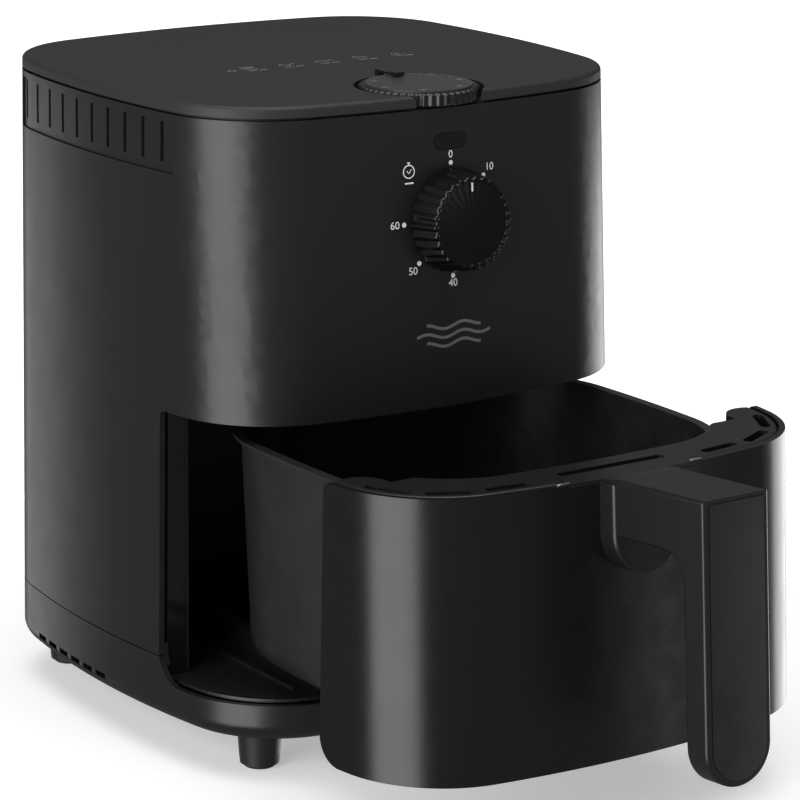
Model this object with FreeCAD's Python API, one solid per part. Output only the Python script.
import FreeCAD, Part
import math
import os

# A compact drawer-type air fryer. Millimetres, +Z up, the user stands on the -Y side.
# The design frame has its origin on the table under the middle of the housing; the last
# section moves everything so that the origin is under the middle of the whole object.

# ---- driving dimensions: housing ---------------------------------------------------------------
body_height = 290.0          # table to the top of the lid
body_half_width = 112.6      # half width at the top
body_front = 106.3           # centre to front face at the top
body_back = 106.3            # centre to back face at the top
side_draft = 0.010           # how much each side moves out per millimetre downwards
front_lean = 0.058           # how much the front moves forward per millimetre downwards
back_draft = 0.018           # how much the back moves backward per millimetre downwards
corner_radius = 50.0         # plan radius of the four corners
crown_radius = 450.0         # plan radius of the slightly bowed faces
shell_wall = 2.6             # housing, base and drawer front wall
seam_gap = 0.5               # visual gap between the base and the shell
lid_gap = 1.2                # shadow gap under the lid
lid_edge = 4.8               # visible thickness of the lid edge
lid_round = 2.0              # rounding of the lid's upper edge
lid_rim_depth = 2.2          # how far the lid's locating rim reaches below the shell's top
base_bottom = 18.8           # table to the underside of the base
base_seam = 47.4             # table to the line where the shell meets the base
base_round = 8.0             # rounding under the base
inner_clearance = 0.15       # between pieces fixed to one another inside the housing
far = 400.0                  # reach of cutters that pass right through

# ---- driving dimensions: drawer opening and drawer ---------------------------------------------
opening_rear = -54.0         # where the cut-out starts on each side wall
opening_top = 156.6          # lower edge of the upper front
opening_sill = 35.5          # upper edge of the base under the drawer
opening_top_round = 3.0
opening_sill_round = 14.0
drawer_gap_top = 1.2
drawer_gap_side = 2.0
drawer_gap_sill = 2.5
drawer_out = 123.0           # how far the drawer is pulled out in the modelled position
pan_half_width = 90.0        # outside of the pan wall at the rim
pan_front = -87.0            # outside of the pan's front wall, drawer closed
pan_back = 76.0              # outside of the pan's back wall, drawer closed
pan_corner = 50.0
pan_crown = 700.0
pan_wall = 1.2
pan_top_drop = 8.6           # drawer opening's top edge to the pan's flange
pan_bottom = 47.5
pan_draft = 0.035            # how much each wall leans in per millimetre downwards
pan_bottom_round = 12.0
flange_width = 3.4
flange_thickness = 1.4
rim_round = 3.0              # rounding of the rim frame's inner upper edge
rim_slot_width = 4.6
rim_slot_length = 20.0
rim_slot_setback = 6.5       # from the drawer front's inner face to the middle of a slot
rim_slot_first = 54.0        # from the middle of the front, along the rim
rim_slot_pitch = 25.0
rim_slots_per_side = 3
plate_rise = 11.5            # pan's underside to the crisper plate
plate_thickness = 1.5
plate_gap = 2.2              # crisper plate edge to the pan wall
plate_hole = 3.2             # radius of the plate's air holes
plate_pitch = 17.0
bumper_thickness = 3.0
plate_lift = 70.0            # how far the plate lifts while still inside the pan

# ---- driving dimensions: handle ----------------------------------------------------------------
handle_lean = 4.4            # degrees that the handle's front leans
handle_half_width = 16.5
handle_reach = 62.5          # drawer front to the handle's front face
handle_length = 117.0        # top of the handle to its rounded end
handle_depth = 13.0          # front to back of the grip
neck_height = 23.5           # thickness of the arm that carries the grip
arch_radius = 12.0           # between the arm and the grip
handle_round = 1.6
handle_rise = 1.5            # top of the handle above the drawer front's edge
boss_thickness = 9.0         # U-shaped root of the handle on the drawer front
boss_half_width = 17.5
boss_length = 39.0
insert_border = 2.7
insert_depth = 2.0
insert_seat = 1.7
screw_radius = 1.9
screw_offset = 8.0           # handle's middle to each screw
screw_drop = 18.0            # drawer front's top edge to the screws
bridge_half_width = 33.0     # plate that carries the handle's top over the rim
bridge_taper = 3.0           # how much narrower each side is at the plate's rear edge
bridge_reach = 12.0          # drawer front's outer face to the plate's rear edge
bridge_slot_half = 27.0      # long slot through the rim behind the plate
bridge_thickness = 1.8
bridge_proud = 0.4           # plate above the drawer front's edge

# ---- driving dimensions: controls --------------------------------------------------------------
timer_drop = 53.5            # lid's top to the timer knob's axis
timer_base_radius = 22.5
timer_face_radius = 19.8
timer_knob_depth = 15.0
timer_flutes = 30
timer_flute_radius = 1.5
knob_clearance = 0.6         # knob to the face behind it
window_drop = 20.1           # lid's top to the middle of the indicator window
window_half_width = 8.7
window_half_height = 3.6
dial_setback = 84.0          # temperature dial axis in front of the housing's middle
dial_radius = 26.0
dial_recess_radius = 27.8
dial_thickness = 5.6
dial_proud = 0.5             # dial rim above the lid
dial_flutes = 48
cap_radius = 23.0
cap_thickness = 0.8
tab_half_width = 1.3         # slim part of the index pointer
tab_tip_half_width = 2.3
tab_tip_length = 4.0
tab_overlap = 5.0            # how far the slim part reaches over the cap
tab_thickness = 0.85
tab_clearance = 0.5
shaft_radius = 3.0
shaft_fit = 0.05             # radial running fit of the shafts
dial_floor = 2.4             # floor of the recess that holds the dial

# ---- driving dimensions: vents and feet --------------------------------------------------------
vent_drop = 8.4              # lid's top to the top of the side vents
vent_tall = 22.6
vent_front = -62.0
vent_back = 72.0
vent_recess = 1.0
vent_slots = 10
vent_slot_width = 2.2
vent_slot_border_low = 4.2
vent_slot_border_high = 1.4
vent_slot_first = -53.5
vent_slot_pitch = 13.2
outlet_half_width = 42.0
outlet_drop = 44.0           # lid's top to the top of the rear outlet
outlet_tall = 70.0
louvres = 9
louvre_border = 5.0
louvre_open = 0.55           # share of each louvre pitch that is open
base_slots = 6
base_slot_first = -12.0
base_slot_pitch = 11.6
base_slot_length = 8.5
base_slot_height = 2.6
base_slot_level = 24.5
foot_x = 79.5
foot_y = 83.0
foot_radius_top = 10.0
foot_radius_bottom = 8.6
pad_radius = 6.6
pad_height = 3.2
pad_socket = 1.6             # how far the pad sits inside the foot

# ---- driving dimensions: heating chamber, motor and electrics ----------------------------------
liner_clearance = 3.2        # pan rim to the cavity liner
liner_wall = 1.4
liner_floor = 37.0           # top of the cavity floor
runner_half_span = 58.0
runner_width = 6.0
slide_clearance = 0.4
shield_gap = 3.4             # drawer opening's top edge to the heat shield
sheet = 1.5                  # thickness of the sheet-metal pieces
reflector_radius = 82.0
reflector_height = 44.0
coil_radius = 62.0
coil_inner_radius = 47.0
coil_tube = 3.3
coil_rise = 14.0             # heat shield to the coil, and so on upwards
guard_rise = 3.0
guard_bar = 1.1
impeller_rise = 24.0
impeller_height = 14.0
impeller_radius = 56.0
impeller_blades = 8
chimney_clearance = 3.0      # shaft to the reflector's hole
bearing_radius = 8.0
bearing_height = 6.0
bracket_rise = 53.0
stator_rise = 62.0
stator_height = 20.0
stator_half_side = 31.0
rotor_radius = 14.0
air_gap = 0.5
fan_rise = 92.0
fan_height = 9.0
fan_radius = 40.0
fan_blades = 7
timer_body_depth = 30.0
timer_body_radius = 20.0
thermostat_radius = 12.0
thermostat_height = 18.0
switch_x = 74.0
switch_y = -84.0
plunger_radius = 1.6
plunger_travel = 2.5
plunger_gap = 0.7            # plunger tip above the closed drawer
gland_x = 62.0
gland_height = 66.0
gland_radius = 8.0
cord_bore = 3.6

# ---- places that follow from the dimensions ----------------------------------------------------
slide = FreeCAD.Vector(0, -drawer_out, 0)
lid_low = body_height - lid_edge
shell_top = lid_low - lid_gap
timer_height = body_height - timer_drop
window_height = body_height - window_drop
vent_high = body_height - vent_drop
vent_low = vent_high - vent_tall
vent_slot_low = vent_low + vent_slot_border_low
vent_slot_high = vent_high - vent_slot_border_high
outlet_high = body_height - outlet_drop
outlet_low = outlet_high - outlet_tall
shield_level = opening_top + shield_gap
coil_level = shield_level + coil_rise
guard_level = shield_level + guard_rise
impeller_level = shield_level + impeller_rise
bracket_level = shield_level + bracket_rise
stator_level = shield_level + stator_rise
fan_level = shield_level + fan_rise
pan_top = opening_top - pan_top_drop
plate_level = pan_bottom + plate_rise
drawer_top = opening_top - drawer_gap_top
drawer_low = opening_sill + drawer_gap_sill
drawer_rear = opening_rear - drawer_gap_side
motor_y = (pan_front + pan_back) / 2
liner_half_width = pan_half_width + flange_width + liner_clearance
liner_back = pan_back + flange_width + liner_clearance
lean_angle = math.degrees(math.atan(front_lean))
dial_top = body_height + dial_proud
dial_low = dial_top - dial_thickness
recess_floor = dial_low - knob_clearance
rotor_low = stator_level + air_gap
lower_bearing_low = bracket_level + sheet
upper_bearing_low = stator_level + stator_height + 1.0
upper_bearing_top = upper_bearing_low + bearing_height
frame_level = upper_bearing_top
shaft_low = impeller_level - 10.0
nut_low = impeller_level - 7.0

parts = {}
X = FreeCAD.Vector(1, 0, 0)
Y = FreeCAD.Vector(0, 1, 0)
Z = FreeCAD.Vector(0, 0, 1)


# ---- small shape helpers -----------------------------------------------------------------------
def point(x, y, z):
    return FreeCAD.Vector(x, y, z)


def box(x0, x1, y0, y1, z0, z1):
    return Part.makeBox(x1 - x0, y1 - y0, z1 - z0, point(x0, y0, z0))


def rod(radius, start, end):
    """Cylinder from one point to another."""
    along = end - start
    return Part.makeCylinder(radius, along.Length, start, along)


def tube(outer, inner, low, high, x=0.0, y=0.0):
    """Upright ring between two heights."""
    body = rod(outer, point(x, y, low), point(x, y, high))
    return body.cut(rod(inner, point(x, y, low - 1), point(x, y, high + 1)))


def fuse(shapes):
    return shapes[0].multiFuse(shapes[1:]).removeSplitter()


def mirrored(shape):
    """The same piece on the other side of the middle plane."""
    return shape.mirror(point(0, 0, 0), X)


def front_at(z):
    """Y of the front face in the middle plane."""
    return -(body_front + front_lean * (body_height - z))


def back_at(z):
    return body_back + back_draft * (body_height - z)


def crowned_loop(z, half_width, front, back, corner, crown):
    """Closed outline: four bowed sides joined by four tangent corner arcs."""
    middle = (front + back) / 2
    reach = crown - corner
    side_centre = point(half_width - crown, middle, z)

    def corner_points(end_y, sign):
        end_centre = point(0, end_y - sign * crown, z)
        between = side_centre - end_centre
        half = between.Length / 2
        away = point(abs(between.y), sign * abs(between.x), 0) * (1 / between.Length)
        centre = (side_centre + end_centre) * 0.5 + away * math.sqrt(reach ** 2 - half ** 2)
        to_end = (centre - end_centre).normalize()
        to_side = (centre - side_centre).normalize()
        halfway = (to_end + to_side).normalize()
        return [centre + to_end * corner, centre + halfway * corner, centre + to_side * corner]

    def flip(p):
        return point(-p.x, p.y, p.z)

    f_end, f_mid, f_side = corner_points(front, -1)
    b_end, b_mid, b_side = corner_points(back, 1)
    triples = [
        (flip(f_end), point(0, front, z), f_end),
        (f_end, f_mid, f_side),
        (f_side, point(half_width, middle, z), b_side),
        (b_side, b_mid, b_end),
        (b_end, point(0, back, z), flip(b_end)),
        (flip(b_end), flip(b_mid), flip(b_side)),
        (flip(b_side), point(-half_width, middle, z), flip(f_side)),
        (flip(f_side), flip(f_mid), flip(f_end)),
    ]
    return Part.Wire([Part.Arc(*three).toShape() for three in triples])


def body_loop(z, inset):
    """Housing outline at one height, moved in by an even inset."""
    drop = body_height - z
    return crowned_loop(
        z,
        body_half_width + side_draft * drop - inset,
        -(body_front + front_lean * drop) + inset,
        body_back + back_draft * drop - inset,
        corner_radius - inset,
        crown_radius - inset,
    )


def body_block(low, high, inset):
    """Solid bounded by the housing's outer faces, moved in by the inset."""
    return Part.makeLoft([body_loop(low, inset), body_loop(high, inset)], True, True)


def body_ring(low, high, outer, inner):
    return body_block(low, high, outer).cut(body_block(low - 1, high + 1, inner))


def pan_loop(z, inset):
    lean = pan_draft * (pan_top - z)
    return crowned_loop(
        z,
        pan_half_width - lean - inset,
        pan_front + lean + inset,
        pan_back - lean - inset,
        pan_corner - inset,
        pan_crown - inset,
    )


def pan_block(low, high, inset):
    return Part.makeLoft([pan_loop(low, inset), pan_loop(high, inset)], True, True)


def opening_prism(rear, top, sill, top_round, sill_round):
    """Everything in front of the drawer opening's rear edge, with its rounded corners."""
    far_front = front_at(0) - 60
    half = body_half_width + 40
    t = math.sqrt(0.5)
    corners = [
        Part.LineSegment(point(-half, far_front, top), point(-half, rear - top_round, top)),
        Part.Arc(
            point(-half, rear - top_round, top),
            point(-half, rear - top_round * (1 - t), top - top_round * (1 - t)),
            point(-half, rear, top - top_round),
        ),
        Part.LineSegment(point(-half, rear, top - top_round), point(-half, rear, sill + sill_round)),
        Part.Arc(
            point(-half, rear, sill + sill_round),
            point(-half, rear - sill_round * (1 - t), sill + sill_round * (1 - t)),
            point(-half, rear - sill_round, sill),
        ),
        Part.LineSegment(point(-half, rear - sill_round, sill), point(-half, far_front, sill)),
        Part.LineSegment(point(-half, far_front, sill), point(-half, far_front, top)),
    ]
    outline = Part.Wire([curve.toShape() for curve in corners])
    return Part.Face(outline).extrude(X * (2 * half))


def on_front(shape, z):
    """Stand a shape built along +Z on the leaning front face, at a height in the middle plane."""
    turned = shape.copy()
    turned.rotate(point(0, 0, 0), X, 90 - lean_angle)
    turned.translate(point(0, front_at(z), z))
    return turned


def obround(half_width, half_height, low, high):
    """Flat slot-shaped block, long along X."""
    middle = half_width - half_height
    return fuse([
        box(-middle, middle, -half_height, half_height, low, high),
        rod(half_height, point(-middle, 0, low), point(-middle, 0, high)),
        rod(half_height, point(middle, 0, low), point(middle, 0, high)),
    ])


# ---- housing -----------------------------------------------------------------------------------
def outer_shell():
    """Upper casing: a drafted sleeve with the drawer cut-out, vent windows and control holes."""
    shell = body_ring(base_seam, shell_top, 0, shell_wall)
    shell = shell.cut(opening_prism(opening_rear, opening_top, opening_sill,
                                    opening_top_round, opening_sill_round))
    reach = body_half_width + 20
    for sign in (-1, 1):
        inner = sign * (body_half_width - corner_radius)
        x0, x1 = sorted((inner, sign * reach))
        shell = shell.cut(box(x0, x1, vent_front, vent_back, vent_low, vent_high))
    shell = shell.cut(box(-outlet_half_width, outlet_half_width, 0, body_back + 40,
                          outlet_low, outlet_high))
    shell = shell.cut(rod(gland_radius, point(gland_x, body_back - 30, gland_height),
                          point(gland_x, body_back + 30, gland_height)))
    shell = shell.cut(on_front(obround(window_half_width, window_half_height, -10, 10), window_height))
    shaft_hole = rod(shaft_radius + 1.0, point(0, 0, -15), point(0, 0, 10))
    return shell.cut(on_front(shaft_hole, timer_height))


def top_cover():
    """Lid: a thin-walled slab with a rounded edge, a locating rim and the dial recess."""
    slab = body_block(lid_low, body_height, 0)
    upper_edges = [e for e in slab.Edges if e.BoundBox.ZMin > body_height - 0.01]
    slab = slab.makeFillet(lid_round, upper_edges)
    pocket_top = body_height - lid_edge / 2
    slab = slab.cut(body_block(lid_low - 1, pocket_top, 6.0))
    rim_inset = shell_wall + inner_clearance
    rim = body_ring(shell_top - lid_rim_depth, pocket_top + 0.5, rim_inset, rim_inset + 2.0)
    cup = rod(dial_recess_radius + 2.0, point(0, -dial_setback, recess_floor - dial_floor),
              point(0, -dial_setback, pocket_top + 0.5))
    cup = cup.common(body_block(recess_floor - dial_floor - 1, body_height, rim_inset))
    lid = fuse([slab, rim, cup])
    recess = rod(dial_recess_radius, point(0, -dial_setback, recess_floor),
                 point(0, -dial_setback, body_height + 5))
    bore = rod(shaft_radius + 0.6, point(0, -dial_setback, recess_floor - 10),
               point(0, -dial_setback, body_height))
    return lid.cut(recess).cut(bore)


def base_tray():
    """Lower casing with rounded bottom edge, drawer sill, side slits and a lip inside the shell."""
    top = base_seam - seam_gap
    outer = body_block(base_bottom, top, 0)
    low_edges = [e for e in outer.Edges if e.BoundBox.ZMax < base_bottom + 0.01]
    outer = outer.makeFillet(base_round, low_edges)
    inner = body_block(base_bottom + shell_wall, top + 1, shell_wall)
    low_edges = [e for e in inner.Edges if e.BoundBox.ZMax < base_bottom + shell_wall + 0.01]
    inner = inner.makeFillet(base_round - shell_wall, low_edges)
    lip_inset = shell_wall + inner_clearance
    lip = body_ring(top - 4.0, base_seam + 5.0, lip_inset, lip_inset + 1.8)
    bridge = body_ring(top - 3.0, top - 1.0, shell_wall - 0.5, lip_inset + 0.9)
    tray = fuse([outer.cut(inner), lip, bridge])
    tray = tray.cut(opening_prism(opening_rear, opening_top, opening_sill,
                                  opening_top_round, opening_sill_round))
    reach = body_half_width + 20
    for i in range(base_slots):
        y = base_slot_first + i * base_slot_pitch
        tray = tray.cut(box(-reach, reach, y, y + base_slot_length,
                            base_slot_level, base_slot_level + base_slot_height))
    return tray


def feet():
    """Four tapered posts under the base, each with a rubber pad in its socket."""
    places = [(-foot_x, -foot_y), (foot_x, -foot_y), (-foot_x, foot_y), (foot_x, foot_y)]
    for number, (x, y) in enumerate(places, 1):
        height = base_bottom - pad_height + pad_socket
        post = Part.makeCone(foot_radius_bottom, foot_radius_top, height,
                             point(x, y, pad_height - pad_socket), Z)
        pad = rod(pad_radius, point(x, y, 0), point(x, y, pad_height))
        socket = rod(pad_radius, point(x, y, -1), point(x, y, pad_height))
        parts["foot_post_%d" % number] = post.cut(socket)
        parts["foot_pad_%d" % number] = pad


def vent_panels():
    """Slotted air-inlet strips let into the side walls under the lid."""
    flange = 3.0
    low = vent_low + inner_clearance
    high = vent_high - inner_clearance
    face = body_ring(low, high, vent_recess, shell_wall + 0.4)
    face = face.common(box(0, far, vent_front + inner_clearance, vent_back - inner_clearance, low, high))
    back_low = vent_low - flange
    back_high = shell_top - lid_rim_depth - inner_clearance
    backing = body_ring(back_low, back_high, shell_wall + inner_clearance, shell_wall + 1.8)
    backing = backing.common(box(0, far, vent_front - flange, vent_back + flange, back_low, back_high))
    panel = fuse([face, backing])
    for i in range(vent_slots):
        y = vent_slot_first + i * vent_slot_pitch - vent_slot_width / 2
        panel = panel.cut(box(50, far, y, y + vent_slot_width, vent_slot_low, vent_slot_high))
    parts["vent_panel_right"] = panel
    parts["vent_panel_left"] = mirrored(panel)


def rear_grille():
    """Louvred air outlet in the back wall."""
    flange = 4.0
    side = outlet_half_width - inner_clearance
    low = outlet_low + inner_clearance
    high = outlet_high - inner_clearance
    face = body_ring(low, high, 0.6, shell_wall + 0.4).common(box(-side, side, 50, far, low, high))
    wide = outlet_half_width + flange
    backing = body_ring(outlet_low - flange, outlet_high + flange,
                        shell_wall + inner_clearance, shell_wall + 1.8)
    backing = backing.common(box(-wide, wide, 50, far, outlet_low - flange, outlet_high + flange))
    grille = fuse([face, backing])
    pitch = (high - low - 2 * louvre_border) / louvres
    for i in range(louvres):
        z = low + louvre_border + i * pitch
        grille = grille.cut(box(-side + louvre_border, side - louvre_border, 50, far,
                                z, z + pitch * louvre_open))
    return grille


def opening_bezel():
    """Frame just inside the opening that closes the gap between shell and cavity liner."""
    thick = 3.0
    rear = opening_rear + 1.0 + thick
    half = liner_half_width + liner_wall + inner_clearance
    floor_low = liner_floor - liner_wall - inner_clearance
    low = floor_low - thick
    high = shield_level - inner_clearance
    frame = body_block(low, high, shell_wall + 2 * inner_clearance + 1.8)
    frame = frame.common(box(-far, far, rear - thick, rear, low, high))
    return frame.cut(box(-half, half, rear - thick - 1, rear + 1, floor_low, high + 1))


def cavity_liner():
    """Open-fronted, open-topped tub that the drawer slides into, with a ribbed floor."""
    x0 = liner_half_width
    y0 = opening_rear + 1.0
    y1 = liner_back
    top = shield_level - inner_clearance
    floor_low = liner_floor - liner_wall
    outer = box(-x0 - liner_wall, x0 + liner_wall, y0, y1 + liner_wall, floor_low, top)
    inner = box(-x0, x0, y0 - 1, y1, liner_floor, top + 1)
    upright = [e for e in inner.Edges if e.BoundBox.ZLength > 50 and e.BoundBox.YMin > y1 - 1]
    inner = inner.makeFillet(20.0, upright)
    upright = [e for e in outer.Edges if e.BoundBox.ZLength > 50 and e.BoundBox.YMin > y1]
    outer = outer.makeFillet(20.0 + liner_wall, upright)
    apron_inset = shell_wall + 2 * inner_clearance + 1.8
    apron = body_block(floor_low, liner_floor, apron_inset)
    apron = apron.common(fuse([
        box(-far, far, -far, y0 - inner_clearance, floor_low - 1, liner_floor + 1),
        box(-x0, x0, y0 - 1, y0 + 0.5, floor_low - 1, liner_floor + 1),
    ]))
    tub = fuse([outer.cut(inner), apron])
    ribs = []
    rib_width = 2.0
    rib_height = 1.6
    for i in range(-4, 5):
        x = i * 18.0 - rib_width / 2
        ribs.append(box(x, x + rib_width, front_at(liner_floor) + 22, liner_back - 12,
                        liner_floor - 0.2, liner_floor + rib_height))
    return fuse([tub] + ribs)


def runners():
    """Two rails on the cavity floor that carry the pan."""
    top = pan_bottom - slide_clearance
    for sign, name in ((-1, "runner_left"), (1, "runner_right")):
        x = sign * runner_half_span
        rail = box(x - runner_width / 2, x + runner_width / 2, front_at(liner_floor) + 20,
                   liner_back - 14, liner_floor + inner_clearance, top)
        ends = [e for e in rail.Edges if e.BoundBox.ZMin > top - 0.01 and e.BoundBox.XLength > 1]
        rail = rail.makeChamfer(min(4.0, (top - liner_floor) / 2), ends)
        parts[name] = rail


# ---- heating chamber ---------------------------------------------------------------------------
def heat_shield():
    """Sheet-metal deck above the drawer with the round mouth of the heating chamber."""
    inset = shell_wall + 1.0
    deck = body_block(shield_level, shield_level + sheet, inset)
    mouth = rod(reflector_radius - 2, point(0, motor_y, shield_level - 1),
                point(0, motor_y, shield_level + sheet + 1))
    plunger_hole = rod(plunger_radius + 0.5, point(switch_x, switch_y, shield_level - 1),
                       point(switch_x, switch_y, shield_level + sheet + 1))
    return deck.cut(mouth).cut(plunger_hole)


def heater_reflector():
    """Polished drum around the coil and impeller, open below, with the shaft hole on top."""
    low = shield_level + sheet
    high = low + reflector_height
    outer = rod(reflector_radius + sheet, point(0, motor_y, low), point(0, motor_y, high))
    flange = rod(reflector_radius + 9, point(0, motor_y, low), point(0, motor_y, low + sheet))
    bore = rod(reflector_radius, point(0, motor_y, low - 1), point(0, motor_y, high - sheet))
    hole = rod(shaft_radius + chimney_clearance, point(0, motor_y, high - 5), point(0, motor_y, high + 5))
    drum = fuse([outer, flange]).cut(bore).cut(hole)
    x, y = bulb_place()
    drum = drum.cut(rod(1.4, point(x, y, high - 5), point(x, y, high + 5)))
    for side in (-1, 1):
        start = point(side * 6.0, motor_y + coil_radius, high - 5)
        drum = drum.cut(rod(coil_tube + 0.3, start, start + Z * 10))
    return drum


def heater_coil():
    """Tubular element: two rings joined by links, with both terminals rising through the drum."""
    centre = point(0, motor_y, coil_level)
    pieces = [
        Part.makeTorus(coil_radius, coil_tube, centre, Z),
        Part.makeTorus(coil_inner_radius, coil_tube, centre, Z),
        rod(coil_tube, centre - Y * coil_inner_radius, centre - Y * coil_radius),
    ]
    top = shield_level + sheet + reflector_height + 9
    for side in (-1, 1):
        foot = point(side * 6.0, motor_y + coil_radius, coil_level)
        pieces.append(rod(coil_tube, foot, point(foot.x, foot.y, top)))
    return fuse(pieces)


def coil_clips():
    """Three sheet-metal straps that hang the coil from the drum's wall."""
    clips = []
    for degrees in (30, 150, 270):
        arm = box(coil_radius - 4, reflector_radius - inner_clearance, -3.5, 3.5,
                  coil_level + coil_tube + 0.2, coil_level + coil_tube + 1.4)
        tab = box(reflector_radius - 1.4, reflector_radius - inner_clearance - 0.1, -3.5, 3.5,
                  coil_level + coil_tube + 0.2, coil_level + coil_tube + 9)
        clip = fuse([arm, tab])
        clip.rotate(point(0, 0, 0), Z, degrees)
        clip.translate(point(0, motor_y, 0))
        clips.append(clip)
    return Part.makeCompound(clips)


def coil_guard():
    """Wire guard in the mouth of the drum: three rings joined by short spokes."""
    centre = point(0, motor_y, guard_level)
    outer = reflector_radius - 2 - guard_bar - 0.4
    inner = outer * 0.33
    pieces = [Part.makeTorus(r, guard_bar, centre, Z) for r in (outer, outer * 0.66, inner)]
    spokes = 6
    for i in range(spokes):
        angle = 2 * math.pi * i / spokes
        along = point(math.cos(angle), math.sin(angle), 0)
        pieces.append(rod(guard_bar * 0.8, centre + along * inner, centre + along * outer))
    return fuse(pieces)


def bulb_place():
    """X and Y of the temperature bulb, between the impeller and the drum."""
    reach = (impeller_radius + reflector_radius) / 2
    angle = math.radians(-62)
    return reach * math.cos(angle), motor_y + reach * math.sin(angle)


def capillary_bulb():
    """Thermostat bulb in the hot air with its thin tube up to the thermostat."""
    x, y = bulb_place()
    bulb_top = shield_level + sheet + reflector_height - 8
    turn_z = thermostat_low() + thermostat_height / 2
    corner = point(x, y, turn_z)
    inward = point(0, -dial_setback, turn_z) - corner
    end = corner + inward * (1 - (thermostat_radius + inner_clearance) / inward.Length)
    return fuse([
        rod(2.2, point(x, y, bulb_top - 22), point(x, y, bulb_top)),
        rod(0.9, point(x, y, bulb_top - 1), corner),
        Part.makeSphere(0.9, corner),
        rod(0.9, corner, end),
    ])


# ---- motor and fans ----------------------------------------------------------------------------
def motor_bracket():
    """Bridge over the drum that carries the motor, with a seat for the lower bearing."""
    drum_top = shield_level + sheet + reflector_height
    span = stator_half_side + 16
    half = 14.0
    deck = box(-span, span, motor_y - half, motor_y + half, bracket_level, bracket_level + sheet)
    pieces = [deck]
    for sign in (-1, 1):
        x0, x1 = sorted((sign * span, sign * (span - sheet)))
        pieces.append(box(x0, x1, motor_y - half, motor_y + half, drum_top, bracket_level + sheet))
        x0, x1 = sorted((sign * (span - sheet), sign * (span + 8)))
        pieces.append(box(x0, x1, motor_y - half, motor_y + half, drum_top, drum_top + sheet))
    bridge = fuse(pieces)
    return bridge.cut(rod(shaft_radius + 1.5, point(0, motor_y, bracket_level - 1),
                          point(0, motor_y, bracket_level + sheet + 1)))


def bearings():
    bore = shaft_radius + shaft_fit
    parts["bearing_lower"] = tube(bearing_radius, bore, lower_bearing_low,
                                  lower_bearing_low + bearing_height, 0, motor_y)
    parts["bearing_upper"] = tube(bearing_radius, bore, upper_bearing_low, upper_bearing_top, 0, motor_y)


def motor_stator():
    """Laminated stator with a round bore and one winding."""
    side = stator_half_side
    low = stator_level
    high = stator_level + stator_height
    stack = box(-side, side, motor_y - side * 0.75, motor_y + side * 0.75, low, high)
    winding = box(-12, 12, motor_y + side * 0.75 - 1, motor_y + side * 0.75 + 10, low + 2, high - 2)
    corners = [e for e in stack.Edges if e.BoundBox.ZLength > 5]
    stator = fuse([stack.makeFillet(4.0, corners), winding])
    return stator.cut(rod(rotor_radius + air_gap, point(0, motor_y, low - 1), point(0, motor_y, high + 1)))


def motor_frame():
    """Top strap that holds the upper bearing, on two pillars that stand on the bracket."""
    low = frame_level
    span = stator_half_side + 6
    half = 10.0
    strap = box(-span, span, motor_y - half, motor_y + half, low, low + sheet)
    pieces = [strap]
    for sign in (-1, 1):
        x = sign * (stator_half_side + 4)
        pieces.append(rod(2.4, point(x, motor_y, bracket_level + sheet), point(x, motor_y, low + sheet)))
    strap = fuse(pieces)
    return strap.cut(rod(shaft_radius + 0.8, point(0, motor_y, low - 1), point(0, motor_y, low + sheet + 1)))


def rotor_group():
    """Shaft, rotor core, both fans and the nut that clamps the impeller."""
    top = fan_level + fan_height + 2
    parts["motor_shaft"] = rod(shaft_radius, point(0, motor_y, shaft_low), point(0, motor_y, top))
    parts["rotor_core"] = tube(rotor_radius, shaft_radius, rotor_low,
                               stator_level + stator_height - air_gap, 0, motor_y)
    parts["impeller_nut"] = tube(5.5, shaft_radius, nut_low, impeller_level - 0.1, 0, motor_y)
    parts["air_impeller"] = impeller()
    parts["cooling_fan"] = cooling_fan()


def impeller():
    """Flat hub disc with upright blades underneath that fling the hot air outwards."""
    low = impeller_level
    high = impeller_level + impeller_height
    pieces = [
        rod(impeller_radius, point(0, motor_y, high - 1.2), point(0, motor_y, high)),
        rod(9.0, point(0, motor_y, low), point(0, motor_y, high)),
    ]
    for i in range(impeller_blades):
        blade = box(12, impeller_radius - 1, -0.6, 0.6, low, high - 1)
        blade.rotate(point(12, 0, 0), Z, 18)
        blade = blade.common(rod(impeller_radius - 0.5, point(0, 0, low), point(0, 0, high)))
        blade.rotate(point(0, 0, 0), Z, 360 * i / impeller_blades)
        blade.translate(point(0, motor_y, 0))
        pieces.append(blade)
    wheel = fuse(pieces)
    return wheel.cut(rod(shaft_radius, point(0, motor_y, low - 1), point(0, motor_y, high + 1)))


def cooling_fan():
    """Plastic fan on top of the motor that cools the electrics."""
    low = fan_level
    high = fan_level + fan_height
    pieces = [rod(10.0, point(0, motor_y, low), point(0, motor_y, high))]
    for i in range(fan_blades):
        blade = box(8, fan_radius, -8, 8, (low + high) / 2 - 0.7, (low + high) / 2 + 0.7)
        blade.rotate(point(0, 0, (low + high) / 2), X, 24)
        blade = blade.common(tube(fan_radius, 8, low, high))
        blade.rotate(point(0, 0, 0), Z, 360 * i / fan_blades)
        blade.translate(point(0, motor_y, 0))
        pieces.append(blade)
    fan = fuse(pieces)
    return fan.cut(rod(shaft_radius, point(0, motor_y, low - 1), point(0, motor_y, high + 1)))


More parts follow.
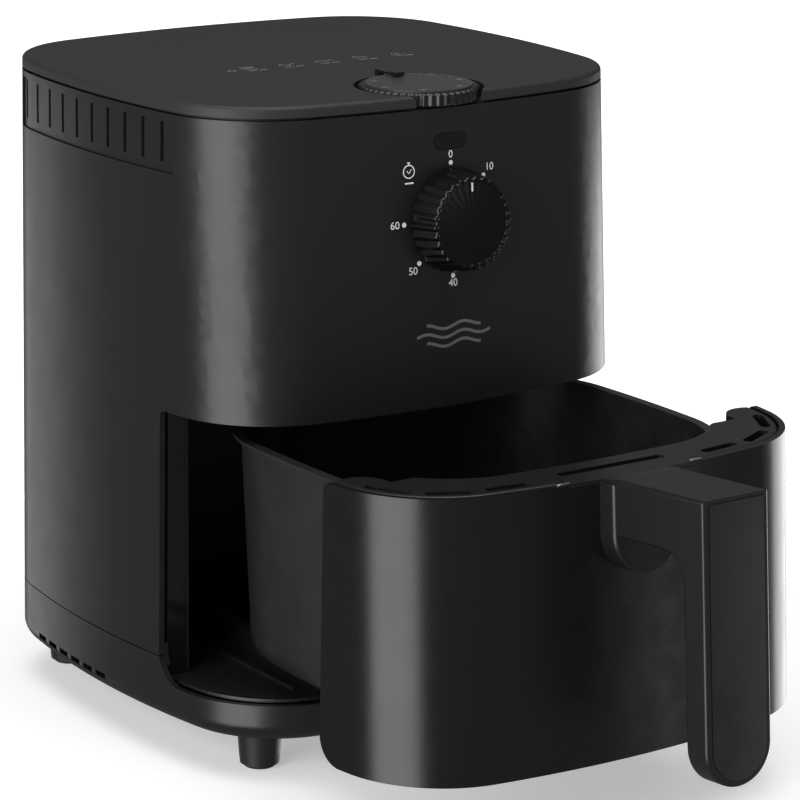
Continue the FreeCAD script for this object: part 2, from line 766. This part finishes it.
# ---- controls ----------------------------------------------------------------------------------
def timer():
    """Mechanical timer behind the front wall, its shaft, and the fluted knob."""
    inside = -shell_wall - inner_clearance
    case = rod(timer_body_radius, point(0, 0, inside - timer_body_depth), point(0, 0, inside - 1.0))
    neck = rod(shaft_radius + 2.5, point(0, 0, inside - 1.5), point(0, 0, inside))
    ears = box(-timer_body_radius - 6, timer_body_radius + 6, -6, 6, inside - 3.0, inside - 1.0)
    bore = rod(shaft_radius + shaft_fit, point(0, 0, inside - timer_body_depth + 6), point(0, 0, 5))
    parts["timer_body"] = on_front(fuse([case, neck, ears]).cut(bore), timer_height)
    shaft_top = knob_clearance + timer_knob_depth - 4
    shaft = rod(shaft_radius, point(0, 0, inside - timer_body_depth + 8), point(0, 0, shaft_top))
    parts["timer_shaft"] = on_front(shaft, timer_height)
    knob = Part.makeCone(timer_base_radius, timer_face_radius, timer_knob_depth,
                         point(0, 0, knob_clearance), Z)
    face_edge = [e for e in knob.Edges if e.BoundBox.ZMin > knob_clearance + timer_knob_depth - 0.01]
    knob = knob.makeFillet(0.8, face_edge)
    slant = (timer_base_radius - timer_face_radius) / timer_knob_depth
    for i in range(timer_flutes):
        angle = 2 * math.pi * i / timer_flutes
        out = point(math.cos(angle), math.sin(angle), 0)
        offset = timer_flute_radius * 0.55
        start = out * (timer_base_radius + offset - slant * 2.0) + Z * (knob_clearance + 2.0)
        end = out * (timer_face_radius + offset - slant * 2.0) + Z * (knob_clearance + timer_knob_depth + 2)
        knob = knob.cut(rod(timer_flute_radius, start, end))
    socket = rod(shaft_radius, point(0, 0, 0), point(0, 0, shaft_top))
    relief = rod(timer_base_radius - 3, point(0, 0, 0), point(0, 0, knob_clearance + timer_knob_depth - 6))
    core = rod(shaft_radius + 3, point(0, 0, 0), point(0, 0, knob_clearance + timer_knob_depth - 6))
    knob = knob.cut(relief.cut(core)).cut(socket)
    parts["timer_knob"] = on_front(knob, timer_height)


def thermostat_low():
    """Underside of the thermostat, which hangs just below the recess floor."""
    return recess_floor - dial_floor - inner_clearance - thermostat_height


def temperature_control():
    """Thermostat under the lid, its shaft, the ribbed dial and the printed cap on it."""
    y = -dial_setback
    low = thermostat_low()
    case = rod(thermostat_radius, point(0, y, low), point(0, y, low + thermostat_height))
    bore = rod(shaft_radius + shaft_fit, point(0, y, low + 5), point(0, y, low + thermostat_height + 5))
    parts["thermostat_body"] = case.cut(bore)
    shaft_end = dial_top - 1.4
    parts["thermostat_shaft"] = rod(shaft_radius, point(0, y, low + 6), point(0, y, shaft_end))
    dial = rod(dial_radius, point(0, y, dial_low), point(0, y, dial_top))
    upper = [e for e in dial.Edges if e.BoundBox.ZMin > dial_top - 0.01]
    dial = dial.makeFillet(0.7, upper)
    for i in range(dial_flutes):
        angle = 2 * math.pi * i / dial_flutes
        out = point(math.cos(angle), math.sin(angle), 0) * (dial_radius + 0.45)
        dial = dial.cut(rod(1.0, point(out.x, out.y + y, dial_low - 1), point(out.x, out.y + y, dial_top + 1)))
    dial = dial.cut(rod(shaft_radius, point(0, y, dial_low - 1), point(0, y, shaft_end)))
    parts["temperature_dial"] = dial
    parts["dial_cap"] = rod(cap_radius, point(0, y, dial_top), point(0, y, dial_top + cap_thickness))


def index_tab():
    """Slim pointer fixed to the lid behind the dial, with a thicker tip over the cap."""
    y = -dial_setback
    under = dial_top + cap_thickness + tab_clearance
    behind = y + dial_recess_radius
    low_top = under + tab_thickness
    foot = box(-tab_half_width, tab_half_width, behind + 0.4, behind + 3.4, body_height, low_top)
    arm_end = y + cap_radius - tab_overlap
    arm = box(-tab_half_width, tab_half_width, arm_end, behind + 3.4, under, low_top)
    tip = box(-tab_tip_half_width, tab_tip_half_width, arm_end - tab_tip_length, arm_end, under,
              under + 2 * tab_thickness)
    return fuse([foot, arm, tip])


def indicator():
    """Obround lens in the front wall and the lamp behind it."""
    lens = obround(window_half_width - inner_clearance, window_half_height - inner_clearance,
                   -shell_wall - 0.6, 0.1)
    parts["indicator_lens"] = on_front(lens, window_height)
    lamp = rod(2.5, point(0, 0, -shell_wall - 6.5), point(0, 0, -shell_wall - 0.8))
    parts["indicator_lamp"] = on_front(lamp, window_height)


def drawer_switch():
    """Safety switch above the drawer's corner with a sprung plunger through the heat shield."""
    low = shield_level + sheet + inner_clearance
    body = box(switch_x - 5, switch_x + 5, switch_y - 9, switch_y + 9, low, low + 16)
    bore = rod(plunger_radius + 0.1, point(switch_x, switch_y, low - 1), point(switch_x, switch_y, low + 12))
    parts["drawer_switch"] = body.cut(bore)
    tip = drawer_top + plunger_gap
    parts["switch_plunger"] = rod(plunger_radius, point(switch_x, switch_y, tip),
                                  point(switch_x, switch_y, low + 12 - plunger_travel - 1))


def electrics():
    """Terminal block, thermal fuse and the cord gland in the back wall."""
    back = back_at(110) - shell_wall - 6.0
    parts["terminal_block"] = box(20, 50, back - 16, back, 112, 128)
    drum_top = shield_level + sheet + reflector_height
    fuse_y = motor_y - 45
    parts["thermal_fuse"] = box(-9, 9, fuse_y - 5, fuse_y + 5, drum_top + inner_clearance, drum_top + 8)
    wall_y = back_at(gland_height)
    drop = gland_x ** 2 / (2 * crown_radius)
    start = point(gland_x, wall_y - drop - shell_wall - 4, gland_height)
    end = point(gland_x, wall_y - drop + 3.5, gland_height)
    body = rod(gland_radius - inner_clearance, start, end)
    collar = rod(gland_radius + 2.5, end - Y * 2.0, end)
    bore = rod(cord_bore, start - Y, end + Y)
    parts["cord_gland"] = fuse([body, collar]).cut(bore)


# ---- drawer ------------------------------------------------------------------------------------
def pan():
    """Drawn steel pan with rounded bottom and an outward flange round its top."""
    outer = pan_block(pan_bottom, pan_top, 0)
    low_edges = [e for e in outer.Edges if e.BoundBox.ZMax < pan_bottom + 0.01]
    outer = outer.makeFillet(pan_bottom_round, low_edges)
    inner = pan_block(pan_bottom + pan_wall, pan_top + 1, pan_wall)
    low_edges = [e for e in inner.Edges if e.BoundBox.ZMax < pan_bottom + pan_wall + 0.01]
    inner = inner.makeFillet(pan_bottom_round - pan_wall, low_edges)
    flange = pan_block(pan_top - flange_thickness, pan_top, -flange_width)
    return fuse([outer, flange]).cut(inner)


def drawer_front():
    """Glossy front that wraps round both corners and completes the housing when closed."""
    wall = body_ring(drawer_low, drawer_top, 0, shell_wall)
    panel = wall.common(opening_prism(drawer_rear, drawer_top, drawer_low,
                                      opening_top_round, opening_sill_round - drawer_gap_side))
    for side in (-1, 1):
        panel = panel.cut(local_handle(rod(screw_radius + 0.2, point(side * screw_offset, 30, -screw_drop),
                                           point(side * screw_offset, -5, -screw_drop))))
    return panel.cut(handle_bridge(inner_clearance))


def rim_column(low, high, inset):
    """Space inside the drawer front, ahead of its rear edge, with a half-round end on each side."""
    block = body_block(low, high, shell_wall + inset)
    outer_x = body_half_width + side_draft * (body_height - high) - shell_wall - inset
    inner_x = pan_half_width - pan_wall
    tip_radius = (outer_x - inner_x) / 2
    tip_x = (outer_x + inner_x) / 2
    tip_y = drawer_rear - 1.0 - tip_radius
    limits = [box(-far, far, -far, tip_y, low, high)]
    for side in (-1, 1):
        limits.append(rod(tip_radius, point(side * tip_x, tip_y, low), point(side * tip_x, tip_y, high)))
    return block.common(fuse(limits))


def rim_frame():
    """Plastic rim between pan and drawer front, with a row of long slots through its top."""
    low = pan_top + inner_clearance
    high = drawer_top
    frame = rim_column(low, high, inner_clearance)
    inner = pan_block(low - 1, high + 1, pan_wall)
    frame = frame.cut(inner)
    wanted = []
    for edge in frame.Edges:
        b = edge.BoundBox
        if b.ZMin > high - 0.01 and abs(b.XMax) < pan_half_width and abs(b.XMin) < pan_half_width:
            wanted.append(edge)
    frame = frame.makeFillet(rim_round, wanted)
    for cutter in rim_slots(low - 1, high + 1):
        frame = frame.cut(cutter)
    return frame.cut(handle_bridge(inner_clearance))


def rim_slots(low, high):
    """Obround cutters set along the rim, parallel to the drawer front."""
    guide = body_loop(drawer_top, shell_wall + rim_slot_setback).Edges
    front_edge, corner_edge = guide[0], guide[1]
    half_front = front_edge.Length / 2
    half = rim_slot_length / 2
    cutters = []
    for i in range(rim_slots_per_side):
        station = rim_slot_first + i * rim_slot_pitch
        if station < half_front:
            edge, along = front_edge, half_front + station
        else:
            edge, along = corner_edge, station - half_front
        at = edge.getParameterByLength(along)
        tangent = edge.tangentAt(at)
        bar = obround(half, rim_slot_width / 2, low, high)
        bar.rotate(point(0, 0, 0), Z, math.degrees(math.atan2(tangent.y, tangent.x)))
        place = edge.valueAt(at)
        bar.translate(point(place.x, place.y, 0))
        cutters += [bar, mirrored(bar)]
    face = -body_front - front_lean * (body_height - drawer_top)
    middle = obround(bridge_slot_half, rim_slot_width / 2, low, high)
    middle.translate(point(0, face + bridge_reach + rim_slot_width / 2 + 1.0, 0))
    return cutters + [middle]


def local_handle(shape):
    """Place a shape from the handle's frame: origin on the drawer front's upper edge, -Y outwards."""
    moved = shape.copy()
    moved.rotate(point(0, 0, 0), X, -handle_lean)
    moved.translate(point(0, front_at(drawer_top), drawer_top))
    return moved


def handle_profile():
    """Side view of arm and grip as a face in the Y-Z plane."""
    top = handle_rise
    root = -boss_thickness
    outside = -handle_reach
    grip_back = outside + handle_depth
    arm_low = top - neck_height
    end = top - handle_length
    t = math.sqrt(0.5)
    r = arch_radius
    curves = [
        Part.LineSegment(point(0, root, top), point(0, outside, top)),
        Part.LineSegment(point(0, outside, top), point(0, outside, end)),
        Part.LineSegment(point(0, outside, end), point(0, grip_back, end)),
        Part.LineSegment(point(0, grip_back, end), point(0, grip_back, arm_low - r)),
        Part.Arc(
            point(0, grip_back, arm_low - r),
            point(0, grip_back + r * (1 - t), arm_low - r * (1 - t)),
            point(0, grip_back + r, arm_low),
        ),
        Part.LineSegment(point(0, grip_back + r, arm_low), point(0, root, arm_low)),
        Part.LineSegment(point(0, root, arm_low), point(0, root, top)),
    ]
    return Part.Face(Part.Wire([c.toShape() for c in curves]))


def pill(half_width, top, low, y0, y1):
    """Block with a half-round lower end, seen from the front."""
    centre = low + half_width
    return fuse([
        box(-half_width, half_width, y0, y1, centre, top),
        rod(half_width, point(0, y0, centre), point(0, y1, centre)),
    ])


def handle_shell():
    """Arm and grip in one moulding, with the seat for the front insert."""
    side = handle_profile().extrude(X * (2 * handle_half_width))
    side.translate(point(-handle_half_width, 0, 0))
    end = handle_rise - handle_length
    front_view = pill(handle_half_width, handle_rise + 1, end, -handle_reach - 1, 0)
    body = side.common(front_view)
    long_edges = []
    for edge in body.Edges:
        b = edge.BoundBox
        on_side = b.XMin > handle_half_width - 0.01 or b.XMax < -handle_half_width + 0.01
        if on_side and b.YMin < -boss_thickness - 0.5:
            long_edges.append(edge)
    body = body.makeFillet(handle_round, long_edges)
    seat = insert_block(0, insert_seat)
    for side_sign in (-1, 1):
        body = body.cut(rod(screw_radius, point(side_sign * screw_offset, 0, -screw_drop),
                            point(side_sign * screw_offset, -boss_thickness - 16, -screw_drop)))
    return local_handle(body.cut(seat))


def insert_block(gap, depth):
    """Plate that fills the recess in the grip's front, smaller than the recess by the gap."""
    half = handle_half_width - insert_border - gap
    top = handle_rise - 1.6 - gap
    low = handle_rise - handle_length + insert_border + gap
    y0 = -handle_reach - (insert_depth - insert_seat if gap else 1.0)
    return pill(half, top, low, y0, -handle_reach + depth)


def handle_boss():
    """U-shaped root on the drawer front, with a ramp from the rim up to the arm's top."""
    block = pill(boss_half_width, -0.4, -boss_length, -boss_thickness + 0.02, 12)
    edges = [e for e in block.Edges if e.BoundBox.YMax < -boss_thickness + 0.1]
    block = block.makeFillet(2.0, edges)
    ahead = -boss_thickness + 0.02
    ramp = [point(-handle_half_width, 3, -3), point(-handle_half_width, 3, 0.2),
            point(-handle_half_width, ahead, handle_rise), point(-handle_half_width, ahead, -3)]
    wedge = Part.Face(Part.makePolygon(ramp + ramp[:1])).extrude(X * (2 * handle_half_width))
    block = fuse([block, wedge])
    for side_sign in (-1, 1):
        block = block.cut(rod(screw_radius + 0.2, point(side_sign * screw_offset, 13, -screw_drop),
                              point(side_sign * screw_offset, -boss_thickness - 1, -screw_drop)))
    placed = local_handle(block)
    return placed.cut(body_block(drawer_low - 1, drawer_top + 1, 0))


def handle_bridge(gap=0.0):
    """Plate that carries the handle's top over the rim; gap makes its pocket."""
    face = -body_front - front_lean * (body_height - drawer_top)
    rear = face + bridge_reach + gap
    narrow = bridge_half_width - bridge_taper + gap
    wide = bridge_half_width + gap
    low = drawer_top + bridge_proud - bridge_thickness - gap
    corners = [point(-narrow, rear, low), point(narrow, rear, low),
               point(wide, face - 1, low), point(-wide, face - 1, low)]
    outline = Part.Face(Part.makePolygon(corners + corners[:1]))
    plate = outline.extrude(Z * (bridge_thickness + 2 * gap))
    return plate.common(body_block(low - 1, drawer_top + 3, -gap))


def handle_screws():
    """Two screws from inside the drawer front through the boss into the arm."""
    screws = []
    for side_sign in (-1, 1):
        x = side_sign * screw_offset
        seat = shell_wall + 1.2
        shank = rod(screw_radius, point(x, seat, -screw_drop), point(x, -boss_thickness - 14, -screw_drop))
        head = rod(screw_radius * 2, point(x, seat, -screw_drop), point(x, seat + 2.5, -screw_drop))
        screws.append(local_handle(fuse([shank, head])))
    return Part.makeCompound(screws)


def pan_bracket():
    """Steel strap welded to the pan and fixed behind the drawer front."""
    y_front = front_at(drawer_top) + shell_wall + 6.0
    y_back = pan_front - inner_clearance
    low = 112.0
    high = pan_top - flange_thickness - 1.0
    half = 26.0
    web = box(-half, half, y_front, y_front + sheet, low, high)
    foot = box(-half, half, y_front, y_back, low, low + sheet)
    back = box(-half, half, y_back - sheet, y_back, low, high - 4)
    strap = fuse([web, foot, back])
    strap = strap.cut(pan_block(pan_bottom, pan_top, -inner_clearance))
    return strap


def crisper_plate():
    """Raised plate with staggered air holes that holds the food off the pan's floor."""
    edge = pan_wall + plate_gap
    plate = pan_block(plate_level, plate_level + plate_thickness, edge)
    skirt = pan_block(plate_level - 7, plate_level + plate_thickness, edge + 6)
    skirt = skirt.cut(pan_block(plate_level - 8, plate_level + plate_thickness + 1, edge + 6 + pan_wall))
    plate = fuse([plate, skirt])
    rows = 9
    holes = []
    for i in range(-rows, rows + 1):
        for j in range(-rows, rows + 1):
            x = (i + 0.5 * (j % 2)) * plate_pitch
            y = motor_y + j * plate_pitch * math.sqrt(0.75)
            limit = edge + 6 + pan_wall + plate_hole + 3
            inside_x = abs(x) < pan_half_width - limit - 2
            inside_y = pan_front + limit + 2 < y < pan_back - limit - 2
            corner_x = max(0, abs(x) - (pan_half_width - pan_corner))
            corner_y = max(0, abs(y - motor_y) - ((pan_back - pan_front) / 2 - pan_corner))
            if inside_x and inside_y and math.hypot(corner_x, corner_y) < pan_corner - limit:
                holes.append(rod(plate_hole, point(x, y, plate_level - 1),
                                 point(x, y, plate_level + plate_thickness + 1)))
    return plate.cut(Part.makeCompound(holes))


def plate_bumpers():
    """Silicone pads that grip the plate's edge and keep it off the pan wall."""
    edge = pan_wall + plate_gap
    outer = pan_block(plate_level - 1.5, plate_level + bumper_thickness, pan_wall + 0.4)
    gap = pan_block(plate_level - 2.5, plate_level + bumper_thickness + 1, edge + 4)
    ring = outer.cut(gap)
    slot = pan_block(plate_level, plate_level + plate_thickness, edge)
    ring = ring.cut(slot)
    windows = (
        box(-9, 9, pan_front - 5, 0, 0, far),
        box(-9, 9, 0, pan_back + 5, 0, far),
        box(-pan_half_width - 5, 0, motor_y - 9, motor_y + 9, 0, far),
        box(0, pan_half_width + 5, motor_y - 9, motor_y + 9, 0, far),
    )
    return Part.makeCompound([ring.common(window) for window in windows])


def assemble():
    """Fill the table of parts, drawer pieces in their pulled-out place."""
    parts["outer_shell"] = outer_shell()
    parts["top_cover"] = top_cover()
    parts["base_tray"] = base_tray()
    feet()
    vent_panels()
    parts["rear_grille"] = rear_grille()
    parts["opening_bezel"] = opening_bezel()
    parts["cavity_liner"] = cavity_liner()
    runners()
    parts["heat_shield"] = heat_shield()
    parts["heater_reflector"] = heater_reflector()
    parts["heater_coil"] = heater_coil()
    parts["coil_clips"] = coil_clips()
    parts["coil_guard"] = coil_guard()
    parts["capillary_bulb"] = capillary_bulb()
    parts["motor_bracket"] = motor_bracket()
    bearings()
    parts["motor_stator"] = motor_stator()
    parts["motor_frame"] = motor_frame()
    rotor_group()
    timer()
    temperature_control()
    parts["index_tab"] = index_tab()
    indicator()
    drawer_switch()
    electrics()
    housing = set(parts)
    parts["pan"] = pan()
    parts["drawer_front"] = drawer_front()
    parts["rim_frame"] = rim_frame()
    parts["handle_shell"] = handle_shell()
    parts["handle_insert"] = local_handle(insert_block(0.15, insert_seat))
    parts["handle_boss"] = handle_boss()
    parts["handle_bridge"] = handle_bridge()
    parts["handle_screws"] = handle_screws()
    parts["pan_bracket"] = pan_bracket()
    parts["crisper_plate"] = crisper_plate()
    parts["plate_bumpers"] = plate_bumpers()
    for name in parts:
        if name not in housing:
            parts[name].translate(slide)


def origin_shift():
    """Vector from the design frame's origin to the point on the table under the whole object."""
    boxes = [shape.BoundBox for shape in parts.values()]
    y_low = min(b.YMin for b in boxes)
    y_high = max(b.YMax for b in boxes)
    return point(0, (y_low + y_high) / 2, 0)


assemble()
centre = origin_shift()
os.makedirs("parts", exist_ok=True)
for name, shape in parts.items():
    shape.translate(centre * -1)
    shape.exportStep("parts/%s.step" % name)
print("origin moved by", tuple(round(v, 3) for v in centre))
print(len(parts), "parts written")
